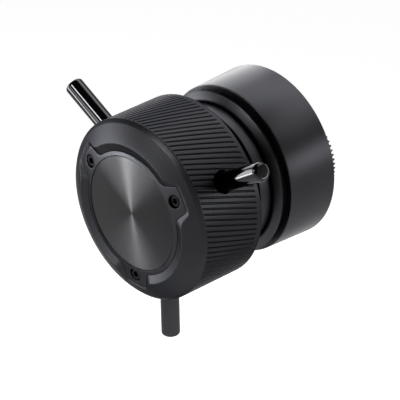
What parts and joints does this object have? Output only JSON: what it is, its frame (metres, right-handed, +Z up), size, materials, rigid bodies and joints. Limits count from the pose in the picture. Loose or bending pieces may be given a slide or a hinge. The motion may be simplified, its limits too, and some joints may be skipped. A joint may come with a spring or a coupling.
{
  "type": "focus demand",
  "caption": "Round hand control for camera lens focus: ribbed knob with radial finger rods that turns endlessly on a short cylindrical housing with a toothed rosette mount at the rear.",
  "frame": {"origin": "centre of the rosette, in the plane of its tooth tips at the object's rear", "axes": "+Y backwards out of the rosette, along the knob's axis; +Z up; the knob's face points to -Y"},
  "size_m": [0.0947, 0.0817, 0.0854],
  "materials": {
    "black_anodised": "black anodised, satin",
    "satin_anodised": "black anodised, satin sheen",
    "spun_disc": "dark anodised over fine turning marks",
    "black_chrome": "polished black chrome",
    "black_steel": "black oxide",
    "steel": "ground",
    "brass": "plain",
    "magnet_nickel": "nickel plated",
    "board": "solder mask",
    "chip": "moulded",
    "rubber": "plain",
    "felt": "pressed felt"
  },
  "bodies": {
    "body": {"rear_cover": "black_anodised", "bearing_carrier": "satin_anodised", "housing": "satin_anodised", "carrier_lock_ring": "black_steel", "rear_cover_screw_1": "black_steel", "rear_cover_screw_2": "black_steel", "rear_cover_screw_3": "black_steel", "rosette_screw_1": "black_steel", "rosette_screw_2": "black_steel", "rosette_screw_3": "black_steel", "board_screw_1": "black_steel", "board_screw_2": "black_steel", "board_screw_3": "black_steel", "front_bearing_outer_race": "steel", "rear_bearing_outer_race": "steel", "wave_washer": "steel", "rosette": "steel", "usb_socket_left": "steel", "usb_socket_right": "steel", "front_bearing_ball_cage": "brass", "rear_bearing_ball_cage": "brass", "rosette_insert": "brass", "board_standoff_1": "brass", "board_standoff_2": "brass", "board_standoff_3": "brass", "sensor_board": "board", "hall_sensor": "chip", "controller_chip": "chip", "cover_gasket": "rubber", "felt_seal": "felt"},
    "knob": {"grip_shell": "black_anodised", "cover_plate": "black_anodised", "face_disc": "spun_disc", "cover_screw_1": "black_steel", "cover_screw_2": "black_steel", "cover_screw_3": "black_steel", "finger_rod_1": "black_chrome", "finger_rod_2": "black_chrome", "finger_rod_3": "black_chrome", "knob_hub": "satin_anodised", "spindle": "steel", "hub_screw": "black_steel", "spindle_nut": "steel", "magnet_holder": "brass", "magnet": "magnet_nickel", "front_bearing_inner_race": "steel", "rear_bearing_inner_race": "steel"}
  },
  "joints": [
    {"name": "knob_turn", "type": "hinge", "parent": "body", "child": "knob", "pos_m": [0, -0.05, 0.007], "axis": [0, 1, 0], "continuous": true}
  ]
}
